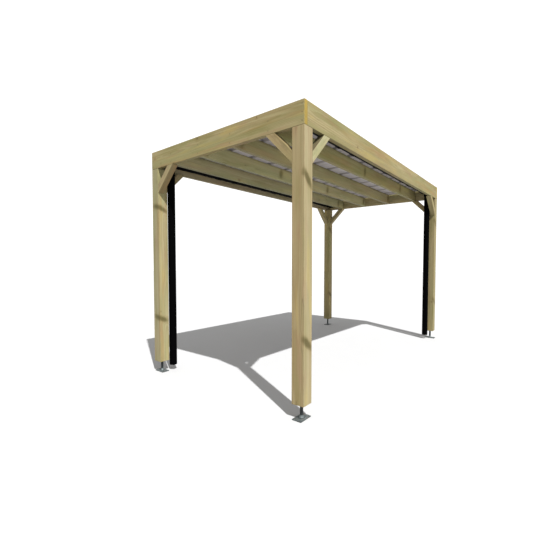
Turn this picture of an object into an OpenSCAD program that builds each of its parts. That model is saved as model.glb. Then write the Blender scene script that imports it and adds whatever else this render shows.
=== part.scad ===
// Open timber carport: four posts on raised steel feet, a frame of deep
// rails held by knee braces, joists under one ribbed roof sheet, and a
// half-round gutter with its own downpipe along each long side.
// Millimetres, +Z up, origin on the floor at the middle of the frame,
// +X along the long sides.

/* [Overall size] */
// Length over the frame, along X
length = 4000; // [3600:10:4800]
// Width over the frame, along Y
width = 2116; // [1900:2:2700]
// Height of the underside of the rails
clear_h = 2348; // [2100:1:2600]

/* [Timber sections] */
// Side of the square posts
post_w = 120; // [100:5:140]
// Thickness of the rails
rail_t = 45; // [40:1:50]
// Depth of the rails
rail_h = 195; // [192:1:220]
// Thickness of the knee braces
brace_t = 70; // [38:1:72]
// Width of the knee braces
brace_w = 70; // [45:1:80]
// Outer leg of the knee braces, along the post and along the rail
brace_leg = 278; // [200:1:340]
// Thickness of the joists
joist_t = 45; // [38:1:50]
// Depth of the joists
joist_h = 158; // [120:1:158]
// Distance of the inner joists from the middle of the width
joist_in = 230; // [200:1:260]
// Distance of the outer joists from the middle of the width
joist_out = 690; // [640:1:720]

/* [Post feet] */
// Height of the post ends above the floor
foot_h = 123; // [100:1:160]
// Long side of the foot plates
plate_l = 150; // [130:1:170]
// Short side of the foot plates
plate_w = 90; // [80:1:110]
// Thickness of the foot plates
plate_t = 8; // [6:1:12]
// Radius of the foot stems
stem_r = 14; // [10:0.5:16]
// Radius of the flare of each stem on its plate
flare_r = 24; // [20:1:26]
// Height of the flare above the plate
flare_h = 24; // [10:1:40]
// Radius of the fixing holes in the foot plates
hole_r = 6; // [4:0.5:7]

/* [Roof sheet] */
// Height of the sheet underside above the rail undersides
sheet_up = 160; // [158:1:160]
// Height of the ribs of the sheet
rib_h = 30; // [12:1:30]
// Thickness of the sheet
sheet_t = 1; // [0.8:0.1:1.5]
// Distance between ribs
rib_pitch = 333; // [200:1:400]
// Reach of the sheet past the middle of each gutter
sheet_out = 12; // [0:1:40]

/* [Gutters and downpipes] */
// Outer radius of the half-round gutters
gutter_r = 62.5; // [50:0.5:64]
// Distance of the gutter middle from the inner face of the rail
gutter_off = 70; // [66:0.5:75]
// Height of the gutter rims above the rail undersides
gutter_up = 109; // [90:1:130]
// Wall of the gutters and downpipes
gutter_t = 2; // [1.5:0.1:3]
// Outer radius of the downpipes
pipe_r = 43.5; // [30:0.5:45]
// Distance of the downpipe middle from the end of the frame
pipe_in = 176; // [170:1:230]
// Height of the lower end of the downpipes
pipe_low = 62; // [30:1:120]

/* [Hidden] */
top_h = clear_h + rail_h;
brace_in = brace_leg - brace_w * sqrt(2);
sheet_z = clear_h + sheet_up;
joist_z = sheet_z - joist_h;
px = length / 2 - post_w / 2;
py = width / 2 - post_w / 2;
gut_y = width / 2 - rail_t - gutter_off;
gut_z = clear_h + gutter_up;
gut_l = length - 2 * rail_t - 10;
pipe_x = length / 2 - pipe_in;
clip_pitch = 920;
clips_right = [800, 1107];
clips_left = [930, 1200];

module timber() color([0.66, 0.60, 0.42]) children();
module steel() color([0.30, 0.32, 0.32]) children();
module black() color([0.02, 0.02, 0.02]) children();

// a square post standing on its foot, middle at x, y
module post(x, y)
  timber() translate([x - post_w / 2, y - post_w / 2, foot_h]) cube([post_w, post_w, clear_h - foot_h]);

// foot: fixing plate and a round stem up to the post, flared on the plate
module foot(x, y, turn)
  steel() translate([x, y, 0]) rotate([0, 0, turn]) difference() {
    union() {
      translate([-plate_l / 2, -plate_w / 2, 0]) cube([plate_l, plate_w, plate_t]);
      cylinder(r = stem_r, h = foot_h, $fn = 48);
      translate([0, 0, plate_t - 1]) cylinder(r1 = flare_r, r2 = stem_r - 1, h = flare_h + 1, $fn = 48);
    }
    for (a = [-1, 1]) for (b = [-1, 1])
      translate([a * (plate_l / 2 - 18), b * (plate_w / 2 - 18), -1]) cylinder(r = hole_r, h = plate_t + 2, $fn = 32);
  }

// an end rail runs over both posts; a side rail butts between the end rails
module rail_end(s)
  timber() translate([s > 0 ? length / 2 - rail_t : -length / 2, -width / 2, clear_h]) cube([rail_t, width, rail_h]);
module rail_side(s)
  timber() translate([-length / 2 + rail_t, s > 0 ? width / 2 - rail_t : -width / 2, clear_h]) cube([length - 2 * rail_t, rail_t, rail_h]);

// brace profile in its own plane: post face on the left, rail on top
module knee_shape()
  polygon([[0, -brace_leg], [0, -brace_in], [brace_in, 0], [brace_leg, 0]]);

module knee_end(sx, sy)
  timber() translate([sx > 0 ? length / 2 - brace_t : -length / 2, sy * (width / 2 - post_w), clear_h])
    mirror([0, sy > 0 ? 1 : 0, 0]) rotate([90, 0, 90]) linear_extrude(height = brace_t) knee_shape();
module knee_side(sx, sy)
  timber() translate([sx * (length / 2 - post_w), sy > 0 ? width / 2 - brace_t : -width / 2, clear_h])
    mirror([sx > 0 ? 1 : 0, 0, 0]) translate([0, brace_t, 0]) rotate([90, 0, 0]) linear_extrude(height = brace_t) knee_shape();

// the joists butt between the end rails, with the sheet on top of them
module joist(y)
  timber() translate([-length / 2 + rail_t, y - joist_t / 2, joist_z]) cube([length - 2 * rail_t, joist_t, joist_h]);

// ribbed sheet: the ribs run across the carport, and its ends stop over the
// gutters so that the water drops into them
sheet_l = length - 2 * rail_t - 10;
rib_n = floor((sheet_l - 80) / rib_pitch);
function rib_x(i) = -sheet_l / 2 + 40 + i * rib_pitch;
function rib_low(i) = [[rib_x(i) - 37.5, 0], [rib_x(i) - 15, rib_h], [rib_x(i) + 15, rib_h], [rib_x(i) + 37.5, 0]];
function under_line() = concat([[-sheet_l / 2, 0]], [for (i = [0 : rib_n]) each rib_low(i)], [[sheet_l / 2, 0]]);
function over_line() = [for (p = under_line()) [p[0], p[1] + sheet_t]];
function flip(v) = [for (i = [len(v) - 1 : -1 : 0]) v[i]];
module roof_sheet()
  color([0.62, 0.60, 0.66]) translate([0, gut_y + sheet_out, sheet_z]) rotate([90, 0, 0])
    linear_extrude(height = 2 * (gut_y + sheet_out)) polygon(concat(under_line(), flip(over_line())));

// half-round trough with a beaded inner rim, closed ends and an outlet
module gutter(s)
  black() translate([0, s * gut_y, gut_z]) difference() {
    union() {
      difference() {
        rotate([0, 90, 0]) translate([0, 0, -gut_l / 2]) cylinder(r = gutter_r, h = gut_l, $fn = 72);
        rotate([0, 90, 0]) translate([0, 0, -gut_l / 2 + 3]) cylinder(r = gutter_r - gutter_t, h = gut_l - 6, $fn = 72);
        translate([-gut_l / 2 - 1, -gutter_r - 1, 0]) cube([gut_l + 2, 2 * gutter_r + 2, gutter_r + 1]);
      }
      translate([-s * pipe_x, 0, -gutter_r - 20]) cylinder(r = pipe_r + 4, h = 32, $fn = 64);
    }
    translate([-s * pipe_x, 0, -gutter_r - 21]) cylinder(r = pipe_r + 0.5, h = 60, $fn = 64);
    intersection() {
      rotate([0, 90, 0]) translate([0, 0, -gut_l / 2 + 3]) cylinder(r = gutter_r - gutter_t, h = gut_l - 6, $fn = 72);
      translate([-s * pipe_x - 60, -gutter_r, -gutter_r]) cube([120, 2 * gutter_r, 2 * gutter_r]);
    }
  }

// brackets round the gutter, each with a pad against the rail
module gutter_clips(s, starts)
  black() for (k = [0 : 4]) for (d = starts)
    if (d + k * clip_pitch < length - 300)
      translate([d + k * clip_pitch - length / 2, s * gut_y, gut_z]) {
        difference() {
          rotate([0, 90, 0]) translate([0, 0, -30]) cylinder(r = gutter_r + 4, h = 60, $fn = 72);
          rotate([0, 90, 0]) translate([0, 0, -31]) cylinder(r = gutter_r, h = 62, $fn = 72);
          translate([-31, -gutter_r - 5, 0]) cube([62, 2 * gutter_r + 10, gutter_r + 5]);
        }
        translate([-30, s > 0 ? gutter_r : -gutter_off, -32]) cube([60, gutter_off - gutter_r, 32]);
      }

module downpipe(s)
  black() translate([-s * pipe_x, s * gut_y, pipe_low]) difference() {
    cylinder(r = pipe_r, h = gut_z - gutter_r + gutter_t - pipe_low, $fn = 64);
    translate([0, 0, -1]) cylinder(r = pipe_r - gutter_t, h = gut_z, $fn = 64);
  }

module post_front_right() post(-px, -py);
module post_front_left() post(-px, py);
module post_back_right() post(px, -py);
module post_back_left() post(px, py);
module foot_front_right() foot(-px, -py, 0);
module foot_front_left() foot(-px, py, 90);
module foot_back_right() foot(px, -py, 90);
module foot_back_left() foot(px, py, 0);
module rail_front() rail_end(-1);
module rail_back() rail_end(1);
module rail_right() rail_side(-1);
module rail_left() rail_side(1);
module knee_end_front_right() knee_end(-1, -1);
module knee_end_front_left() knee_end(-1, 1);
module knee_end_back_right() knee_end(1, -1);
module knee_end_back_left() knee_end(1, 1);
module knee_side_front_right() knee_side(-1, -1);
module knee_side_front_left() knee_side(-1, 1);
module knee_side_back_right() knee_side(1, -1);
module knee_side_back_left() knee_side(1, 1);
module joist_right_outer() joist(-joist_out);
module joist_right_inner() joist(-joist_in);
module joist_left_inner() joist(joist_in);
module joist_left_outer() joist(joist_out);
module gutter_right() gutter(-1);
module gutter_left() gutter(1);
module gutter_clips_right() gutter_clips(-1, clips_right);
module gutter_clips_left() gutter_clips(1, clips_left);
module downpipe_right() downpipe(-1);
module downpipe_left() downpipe(1);

post_front_right();
post_front_left();
post_back_right();
post_back_left();
foot_front_right();
foot_front_left();
foot_back_right();
foot_back_left();
rail_front();
rail_back();
rail_right();
rail_left();
knee_end_front_right();
knee_end_front_left();
knee_end_back_right();
knee_end_back_left();
knee_side_front_right();
knee_side_front_left();
knee_side_back_right();
knee_side_back_left();
joist_right_outer();
joist_right_inner();
joist_left_inner();
joist_left_outer();
roof_sheet();
gutter_right();
gutter_left();
gutter_clips_right();
gutter_clips_left();
downpipe_right();
downpipe_left();
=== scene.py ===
import bpy
import bmesh
import math
import random
from mathutils import Vector, Matrix, noise


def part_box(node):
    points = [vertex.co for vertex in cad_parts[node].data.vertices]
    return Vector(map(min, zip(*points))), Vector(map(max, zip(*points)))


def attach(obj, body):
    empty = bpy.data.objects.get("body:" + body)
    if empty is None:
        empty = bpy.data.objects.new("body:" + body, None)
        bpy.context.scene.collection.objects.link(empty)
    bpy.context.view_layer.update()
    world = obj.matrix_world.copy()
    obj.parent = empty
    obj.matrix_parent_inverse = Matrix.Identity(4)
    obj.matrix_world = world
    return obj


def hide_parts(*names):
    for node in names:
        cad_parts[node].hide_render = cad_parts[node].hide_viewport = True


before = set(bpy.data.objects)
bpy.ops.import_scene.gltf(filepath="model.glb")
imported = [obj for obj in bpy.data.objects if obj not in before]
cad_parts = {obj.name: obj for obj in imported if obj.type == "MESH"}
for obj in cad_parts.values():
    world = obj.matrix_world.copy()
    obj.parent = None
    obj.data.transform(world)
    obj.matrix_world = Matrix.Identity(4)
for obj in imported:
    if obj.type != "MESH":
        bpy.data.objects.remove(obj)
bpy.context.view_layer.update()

# ------------------------------------------------------------------ helpers


def srgb(r, g, b):
    """A colour given as 0-255 display values, as linear RGBA."""
    def f(c):
        c = c / 255.0
        return c / 12.92 if c <= 0.04045 else ((c + 0.055) / 1.055) ** 2.4
    return (f(r), f(g), f(b), 1.0)


class Nodes:
    """Short calls for building node trees: every call returns an output socket."""

    def __init__(self, tree):
        self.t = tree

    def new(self, kind, **props):
        n = self.t.nodes.new(kind)
        for k, v in props.items():
            setattr(n, k, v)
        return n

    def put(self, socket, value):
        if isinstance(value, bpy.types.NodeSocket):
            self.t.links.new(value, socket)
        else:
            socket.default_value = value

    def math(self, op, a, b=None, c=None, clamp=False):
        n = self.new("ShaderNodeMath", operation=op, use_clamp=clamp)
        self.put(n.inputs[0], a)
        if b is not None:
            self.put(n.inputs[1], b)
        if c is not None:
            self.put(n.inputs[2], c)
        return n.outputs[0]

    def vec(self, op, a, b=None):
        n = self.new("ShaderNodeVectorMath", operation=op)
        self.put(n.inputs[0], a)
        if b is not None:
            if op == "SCALE":
                self.put(n.inputs["Scale"], b)
            else:
                self.put(n.inputs[1], b)
        return n.outputs["Value"] if op in ("LENGTH", "DOT_PRODUCT", "DISTANCE") else n.outputs["Vector"]

    def xyz(self, v):
        n = self.new("ShaderNodeSeparateXYZ")
        self.put(n.inputs[0], v)
        return n.outputs[0], n.outputs[1], n.outputs[2]

    def join(self, x, y, z):
        n = self.new("ShaderNodeCombineXYZ")
        for s, v in zip(n.inputs, (x, y, z)):
            self.put(s, v)
        return n.outputs[0]

    def noise(self, v, scale=1.0, detail=2.0, rough=0.5, distortion=0.0, colour=False):
        n = self.new("ShaderNodeTexNoise")
        self.put(n.inputs["Vector"], v)
        n.inputs["Scale"].default_value = scale
        n.inputs["Detail"].default_value = detail
        n.inputs["Roughness"].default_value = rough
        n.inputs["Distortion"].default_value = distortion
        return n.outputs["Color"] if colour else n.outputs["Fac"]

    def span(self, v, a, b, lo=0.0, hi=1.0, smooth=True):
        n = self.new("ShaderNodeMapRange")
        n.interpolation_type = "SMOOTHSTEP" if smooth else "LINEAR"
        n.clamp = True if not smooth else n.clamp
        self.put(n.inputs["Value"], v)
        n.inputs["From Min"].default_value = a
        n.inputs["From Max"].default_value = b
        n.inputs["To Min"].default_value = lo
        n.inputs["To Max"].default_value = hi
        return n.outputs[0]

    def mix(self, fac, a, b, blend="MIX"):
        n = self.new("ShaderNodeMix", data_type="RGBA", blend_type=blend)
        n.clamp_factor = True
        self.put(n.inputs["Factor"], fac)
        self.put([s for s in n.inputs if s.name == "A" and s.type == "RGBA"][0], a)
        self.put([s for s in n.inputs if s.name == "B" and s.type == "RGBA"][0], b)
        return [s for s in n.outputs if s.type == "RGBA"][0]

    def mixf(self, fac, a, b):
        n = self.new("ShaderNodeMix", data_type="FLOAT")
        n.clamp_factor = True
        self.put(n.inputs["Factor"], fac)
        self.put([s for s in n.inputs if s.name == "A" and s.type == "VALUE"][0], a)
        self.put([s for s in n.inputs if s.name == "B" and s.type == "VALUE"][0], b)
        return [s for s in n.outputs if s.type == "VALUE"][0]

    def ramp(self, fac, stops):
        n = self.new("ShaderNodeValToRGB")
        self.put(n.inputs[0], fac)
        e = n.color_ramp.elements
        while len(e) < len(stops):
            e.new(0.5)
        for el, (p, c) in zip(e, stops):
            el.position = p
            el.color = c
        return n.outputs[0]


def finish_material(mat, N, colour, rough, height, metallic=None, **shader):
    """Principled surface with colour, roughness and bump from nodes; constants on the shader's own sockets."""
    out = N.new("ShaderNodeOutputMaterial")
    p = N.new("ShaderNodeBsdfPrincipled")
    N.put(p.inputs["Base Color"], colour)
    N.put(p.inputs["Roughness"], rough)
    if metallic is not None:
        N.put(p.inputs["Metallic"], metallic)
    for k, v in shader.items():
        p.inputs[k.replace("_", " ")].default_value = v
    if height is not None:
        b = N.new("ShaderNodeBump")
        b.inputs["Strength"].default_value = 1.0
        b.inputs["Distance"].default_value = 1.0
        N.put(b.inputs["Height"], height)
        N.t.links.new(b.outputs["Normal"], p.inputs["Normal"])
    N.t.links.new(p.outputs[0], out.inputs[0])
    return mat


def blank(name):
    m = bpy.data.materials.new(name)
    m.use_nodes = True
    m.node_tree.nodes.clear()
    return m, Nodes(m.node_tree)


# ------------------------------------------------------------------ timber

C_LIGHT = srgb(214, 199, 150)
C_LATE = srgb(170, 146, 92)
C_GREEN = srgb(176, 176, 118)
C_ORANGE = srgb(205, 158, 92)
C_PINK = srgb(196, 158, 122)
C_OLIVE = srgb(150, 146, 74)
C_YELLOW = srgb(236, 210, 122)
C_KNOT = srgb(112, 82, 44)
C_RIM = srgb(70, 50, 28)
C_END = srgb(222, 196, 98)


def wood_group():
    """Solid softwood: P is in metres, X along the grain, Y and Z across it from the middle of the section."""
    g = bpy.data.node_groups.new("softwood", "ShaderNodeTree")
    for n, k in (("P", "NodeSocketVector"), ("Pith", "NodeSocketVector"), ("Seed", "NodeSocketFloat"), ("Knot", "NodeSocketFloat"),
                 ("Halo", "NodeSocketFloat"), ("End", "NodeSocketFloat"), ("Edge", "NodeSocketFloat"), ("Tone", "NodeSocketFloat"),
                 ("Knotty", "NodeSocketFloat")):
        g.interface.new_socket(n, in_out="INPUT", socket_type=k)
    for n, k in (("Color", "NodeSocketColor"), ("Roughness", "NodeSocketFloat"), ("Height", "NodeSocketFloat")):
        g.interface.new_socket(n, in_out="OUTPUT", socket_type=k)
    N = Nodes(g)
    i = N.new("NodeGroupInput")
    P, Pith, Seed, KnotIn, HaloIn, End, Edge, Tone, Knotty = [i.outputs[k] for k in range(9)]
    shift = N.join(N.math("MULTIPLY", Seed, 3.17), N.math("MULTIPLY", Seed, 1.31), N.math("MULTIPLY", Seed, 2.23))
    Q = N.vec("ADD", P, shift)

    # small round knots, one here and there
    cell = N.vec("MULTIPLY", Q, (2.1, 8.0, 8.0))
    v = N.new("ShaderNodeTexVoronoi", feature="F1", voronoi_dimensions="3D")
    N.put(v.inputs["Vector"], cell)
    v.inputs["Scale"].default_value = 1.0
    away = N.vec("MULTIPLY", N.vec("SUBTRACT", cell, v.outputs["Position"]), (1 / 2.1, 1 / 8.0, 1 / 8.0))
    size = N.xyz(v.outputs["Color"])[0]
    radius = N.math("MULTIPLY_ADD", size, 0.013, 0.004)
    wob = N.noise(Q, 60.0, 2.0, 0.5)
    away = N.vec("MULTIPLY", away, (0.8, 1.0, 1.0))
    d = N.math("DIVIDE", N.math("ADD", N.vec("LENGTH", away), N.math("MULTIPLY_ADD", wob, 0.004, -0.002)), radius)
    small = N.math("MULTIPLY", N.span(d, 1.0, 0.72), Knotty)
    rim_s = N.math("MULTIPLY", N.math("MULTIPLY", N.span(d, 1.25, 1.0), N.span(d, 0.7, 0.95)), Knotty)
    halo_s = N.math("MULTIPLY", N.span(d, 3.6, 0.8), Knotty)
    knot = N.math("MAXIMUM", small, KnotIn)
    halo = N.math("MAXIMUM", halo_s, HaloIn)

    # growth rings round the pith, drifting along the length and bulging round knots
    slow = N.vec("MULTIPLY", Q, (0.55, 1.6, 1.6))
    drift = N.vec("SUBTRACT", N.noise(slow, 1.0, 2.0, 0.5, colour=True), (0.5, 0.5, 0.5))
    fine = N.vec("SUBTRACT", N.noise(N.vec("MULTIPLY", Q, (3.0, 14.0, 14.0)), 1.0, 3.0, 0.55, colour=True), (0.5, 0.5, 0.5))
    R = N.vec("SUBTRACT", P, Pith)
    R = N.vec("ADD", R, N.vec("SCALE", drift, 0.055))
    R = N.vec("ADD", R, N.vec("SCALE", fine, 0.007))
    x, y, z = N.xyz(R)
    r = N.vec("LENGTH", N.join(0.0, y, z))
    r = N.math("ADD", r, N.math("MULTIPLY", halo, 0.012))
    ringpos = N.math("ADD", N.math("MULTIPLY", r, 190.0), N.math("MULTIPLY", N.noise(N.join(N.math("MULTIPLY", r, 30.0), Seed, 0.0), 1.0, 2.0), 3.0))
    f = N.math("FRACT", ringpos)
    ring = N.math("MULTIPLY", N.span(f, 0.25, 0.93), N.span(f, 1.0, 0.95))
    # wide bands where the cut runs along the rings
    wide = N.span(N.noise(N.join(N.math("MULTIPLY", r, 46.0), N.math("MULTIPLY", x, 0.35), Seed), 1.0, 2.0, 0.6), 0.36, 0.66)

    # fibres, pores, patches
    fib = N.noise(N.vec("MULTIPLY", Q, (7.0, 420.0, 420.0)), 1.0, 3.0, 0.6)
    streak = N.noise(N.vec("MULTIPLY", Q, (1.1, 62.0, 62.0)), 1.0, 4.0, 0.6)
    patch = N.noise(N.vec("MULTIPLY", Q, (0.9, 6.5, 6.5)), 1.0, 3.0, 0.55)
    patch2 = N.noise(N.vec("MULTIPLY", N.vec("ADD", Q, (7.3, 2.1, 4.4)), (0.8, 9.0, 9.0)), 1.0, 3.0, 0.6)
    patch3 = N.noise(N.vec("MULTIPLY", N.vec("ADD", Q, (2.9, 8.8, 1.6)), (1.7, 11.0, 11.0)), 1.0, 2.0, 0.5)
    patch4 = N.noise(N.vec("MULTIPLY", N.vec("ADD", Q, (5.1, 0.4, 9.7)), (2.6, 15.0, 15.0)), 1.0, 2.0, 0.5)
    mottle = N.noise(Q, 24.0, 4.0, 0.65)

    c = N.mix(N.math("MULTIPLY", ring, 0.46), C_LIGHT, C_LATE)
    c = N.mix(N.math("MULTIPLY", wide, 0.30), c, C_LATE)
    c = N.mix(N.math("MULTIPLY", N.span(patch, 0.42, 0.66), 0.58), c, C_GREEN)
    c = N.mix(N.math("MULTIPLY", N.span(patch2, 0.52, 0.74), 0.50), c, C_ORANGE)
    c = N.mix(N.math("MULTIPLY", N.span(patch3, 0.52, 0.70), 0.42), c, C_OLIVE)
    c = N.mix(N.math("MULTIPLY", N.span(patch3, 0.46, 0.30), 0.38), c, C_YELLOW)
    c = N.mix(N.math("MULTIPLY", N.span(patch4, 0.54, 0.72), 0.40), c, C_PINK)
    c = N.mix(N.math("MULTIPLY", Tone, 0.75), c, C_PINK)
    c = N.mix(N.math("MULTIPLY", N.span(streak, 0.48, 0.76), 0.30), c, srgb(152, 134, 84))
    c = N.mix(N.math("MULTIPLY", N.span(streak, 0.46, 0.26), 0.22), c, srgb(232, 220, 178))
    c = N.mix(N.math("MULTIPLY", N.span(fib, 0.52, 0.80), 0.22), c, srgb(142, 122, 76))
    c = N.mix(N.math("MULTIPLY", N.span(mottle, 0.52, 0.80), 0.14), c, srgb(150, 140, 100))
    c = N.mix(N.math("MULTIPLY", halo, 0.34), c, srgb(160, 122, 66))
    c = N.mix(N.math("MULTIPLY", rim_s, 0.75), c, C_RIM)
    c = N.mix(N.math("MULTIPLY", knot, 0.80), c, C_KNOT)

    # drying checks: thin splits that follow the grain
    cv = N.noise(N.vec("MULTIPLY", N.vec("ADD", Q, (3.1, 0.7, 1.9)), (0.85, 21.0, 21.0)), 1.0, 1.0, 0.4)
    line = N.span(N.math("ABSOLUTE", N.math("SUBTRACT", cv, 0.5)), 0.0075, 0.001)
    where = N.span(N.noise(N.vec("MULTIPLY", N.vec("ADD", Q, (1.7, 5.2, 0.4)), (1.3, 9.0, 9.0)), 1.0, 1.0), 0.56, 0.66)
    check = N.math("MULTIPLY", line, where)
    c = N.mix(N.math("MULTIPLY", check, 0.30), c, srgb(74, 58, 36))

    # end grain: yellower, with the rings standing out, and fine radial splits
    ang = N.math("ARCTAN2", z, y)
    rays = N.noise(N.join(N.math("MULTIPLY", ang, 16.0), N.math("MULTIPLY", r, 14.0), Seed), 1.0, 2.0, 0.6)
    split = N.span(rays, 0.63, 0.72)
    e = N.mix(N.math("MULTIPLY", ring, 0.62), C_END, srgb(158, 112, 52))
    e = N.mix(N.math("MULTIPLY", N.span(mottle, 0.45, 0.75), 0.35), e, srgb(176, 152, 92))
    e = N.mix(N.math("MULTIPLY", split, 0.55), e, srgb(84, 60, 34))
    c = N.mix(End, c, e)

    # handled edges: a little darker and greyer
    worn = N.math("MULTIPLY", Edge, N.span(N.noise(Q, 11.0, 3.0, 0.6), 0.35, 0.75))
    c = N.mix(N.math("MULTIPLY", worn, 0.34), c, srgb(140, 128, 92))

    rough = N.math("ADD", 0.66, N.math("MULTIPLY", fib, 0.16))
    rough = N.math("ADD", rough, N.math("MULTIPLY", ring, -0.06))
    rough = N.math("ADD", rough, N.math("MULTIPLY", knot, -0.14), clamp=True)

    h = N.math("MULTIPLY", fib, 0.00045)
    h = N.math("ADD", h, N.math("MULTIPLY", ring, 0.00022))
    h = N.math("ADD", h, N.math("MULTIPLY", streak, 0.0006))
    h = N.math("ADD", h, N.math("MULTIPLY", mottle, 0.0005))
    h = N.math("ADD", h, N.math("MULTIPLY", knot, 0.0006))
    h = N.math("SUBTRACT", h, N.math("MULTIPLY", rim_s, 0.0006))
    h = N.math("SUBTRACT", h, N.math("MULTIPLY", check, 0.0009))
    h = N.math("SUBTRACT", h, N.math("MULTIPLY", N.math("MULTIPLY", split, End), 0.0010))

    o = N.new("NodeGroupOutput")
    N.put(o.inputs["Color"], c)
    N.put(o.inputs["Roughness"], rough)
    N.put(o.inputs["Height"], h)
    return g


WOOD = wood_group()
DEPTH = 0.47     # how much of the light that dry treated softwood gives back, next to its palette


def timber_material(name, origin, along, across, half, pith, seed, marks=(), tone=0.0, value=1.0, mute=0.0, tint=(1, 1, 1), faces=(), shade=None, knotty=0.45, stain=(0.62, 0.62, 0.50)):
    """along and across are unit vectors, origin the middle of the piece, half the half sizes (length, across, up).
    marks: spike knots as (u, v, w, half length along, half length across, half depth, lean in degrees).
    faces: (outward direction, colour factor): painted light and shade, a face made lighter or darker by the way it
    faces.
    shade: (w low, w high, colour factor): painted shade, a darker band towards the upper edge."""
    m, N = blank("timber_" + name)
    along, across = Vector(along).normalized(), Vector(across).normalized()
    up = along.cross(across)
    tc = N.new("ShaderNodeTexCoord")
    rel = N.vec("SUBTRACT", tc.outputs["Object"], tuple(origin))
    u = N.vec("DOT_PRODUCT", rel, tuple(along))
    v = N.vec("DOT_PRODUCT", rel, tuple(across))
    w = N.vec("DOT_PRODUCT", rel, tuple(up))
    P = N.join(u, v, w)
    knot, halo = None, None
    rag = N.noise(P, 26.0, 3.0, 0.6, colour=True)
    ragged = N.vec("ADD", P, N.vec("SCALE", N.vec("SUBTRACT", rag, (0.5, 0.5, 0.5)), 0.022))
    for (mu, mv, mw, ru, rv, rw, lean) in marks:
        mp = N.new("ShaderNodeMapping", vector_type="TEXTURE")
        N.put(mp.inputs["Vector"], ragged)
        mp.inputs["Location"].default_value = (mu, mv, mw)
        mp.inputs["Rotation"].default_value = (0, math.radians(lean[1]), math.radians(lean[0]))
        mp.inputs["Scale"].default_value = (ru, rv, rw)
        d = N.vec("LENGTH", mp.outputs[0])
        k, hh = N.span(d, 1.40, 0.45), N.span(d, 2.1, 0.8)
        knot = k if knot is None else N.math("MAXIMUM", knot, k)
        halo = hh if halo is None else N.math("MAXIMUM", halo, hh)
    geo = N.new("ShaderNodeNewGeometry")
    facing = N.math("ABSOLUTE", N.vec("DOT_PRODUCT", geo.outputs["True Normal"], tuple(along)))
    end = N.span(facing, 0.80, 0.95) if not name.startswith("knee") else N.span(facing, 2.0, 3.0)
    ev = N.math("SUBTRACT", N.math("ABSOLUTE", v), half[1])
    ew = N.math("SUBTRACT", N.math("ABSOLUTE", w), half[2])
    edge = N.span(N.math("MINIMUM", ev, ew), -0.010, -0.001)
    n = N.new("ShaderNodeGroup")
    n.node_tree = WOOD
    N.put(n.inputs["P"], P)
    n.inputs["Pith"].default_value = pith
    n.inputs["Seed"].default_value = seed
    n.inputs["Knotty"].default_value = knotty
    if knot is not None:
        N.put(n.inputs["Knot"], N.math("MULTIPLY", N.span(knot, 0.75, 1.0), 0.22))
        N.put(n.inputs["Halo"], N.math("MULTIPLY", halo, 0.5))
    N.put(n.inputs["End"], end)
    N.put(n.inputs["Edge"], edge)
    n.inputs["Tone"].default_value = tone
    c = n.outputs["Color"]
    hs = N.new("ShaderNodeHueSaturation")
    hs.inputs["Saturation"].default_value = 1.0 - mute
    hs.inputs["Value"].default_value = value * DEPTH
    N.put(hs.inputs["Color"], c)
    col = N.mix(1.0, hs.outputs[0], (tint[0], tint[1], tint[2], 1.0), "MULTIPLY")
    if knot is not None:
        col = N.mix(knot, col, N.mix(1.0, col, (stain[0], stain[1], stain[2], 1.0), "MULTIPLY"))
    # painted light and shade: each listed face is made lighter or darker by its direction
    for direction, factor in faces:
        on = N.span(N.vec("DOT_PRODUCT", geo.outputs["True Normal"], direction), 0.5, 0.9)
        col = N.mix(on, col, N.mix(1.0, col, (factor[0], factor[1], factor[2], 1.0), "MULTIPLY"))
    # painted shade: a darker band along the upper edge of the piece
    if shade:
        low, high, factor = shade
        ww = N.math("ADD", w, N.math("MULTIPLY_ADD", N.noise(N.vec("MULTIPLY", P, (5.0, 20.0, 20.0)), 1.0, 3.0, 0.6), 0.016, -0.008))
        col = N.mix(N.span(ww, low, high), col, N.mix(1.0, col, (factor[0], factor[1], factor[2], 1.0), "MULTIPLY"))
    return finish_material(m, N, col, n.outputs["Roughness"], n.outputs["Height"], Specular_IOR_Level=0.28)


# ------------------------------------------------------------------ other materials


def foot_material():
    m, N = blank("foot_galvanised")
    tc = N.new("ShaderNodeTexCoord")
    P = tc.outputs["Object"]
    v = N.new("ShaderNodeTexVoronoi", feature="F1")
    N.put(v.inputs["Vector"], N.vec("ADD", P, N.vec("SCALE", N.noise(P, 90.0, 2.0, colour=True), 0.006)))
    v.inputs["Scale"].default_value = 95.0
    spangle = N.xyz(v.outputs["Color"])[0]
    big = N.noise(P, 22.0, 4.0, 0.6)
    fine = N.noise(P, 420.0, 3.0, 0.6)
    c = N.mix(spangle, srgb(101, 109, 109), srgb(138, 147, 147))
    c = N.mix(N.span(big, 0.42, 0.70), c, srgb(80, 87, 88))
    c = N.mix(N.math("MULTIPLY", N.span(fine, 0.55, 0.8), 0.5), c, srgb(168, 172, 168))
    z = N.xyz(P)[2]
    geo = N.new("ShaderNodeNewGeometry")
    rim = N.math("MULTIPLY", N.span(z, 0.0090, 0.0078), N.span(N.xyz(geo.outputs["True Normal"])[2], 0.8, 0.3))
    c = N.mix(N.math("MULTIPLY", rim, 0.6), c, srgb(66, 72, 72))
    low = N.math("MULTIPLY", N.span(z, 0.022, 0.004), N.span(N.noise(P, 38.0, 4.0, 0.7), 0.50, 0.68))
    c = N.mix(N.math("MULTIPLY", low, 0.55), c, srgb(110, 84, 60))
    rough = N.math("ADD", 0.42, N.math("MULTIPLY", big, 0.28))
    h = N.math("ADD", N.math("MULTIPLY", big, 0.0009), N.math("MULTIPLY", fine, 0.00018))
    metal = N.math("SUBTRACT", 0.75, N.math("MULTIPLY", low, 0.6))
    return finish_material(m, N, c, rough, h, metallic=metal)


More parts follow.
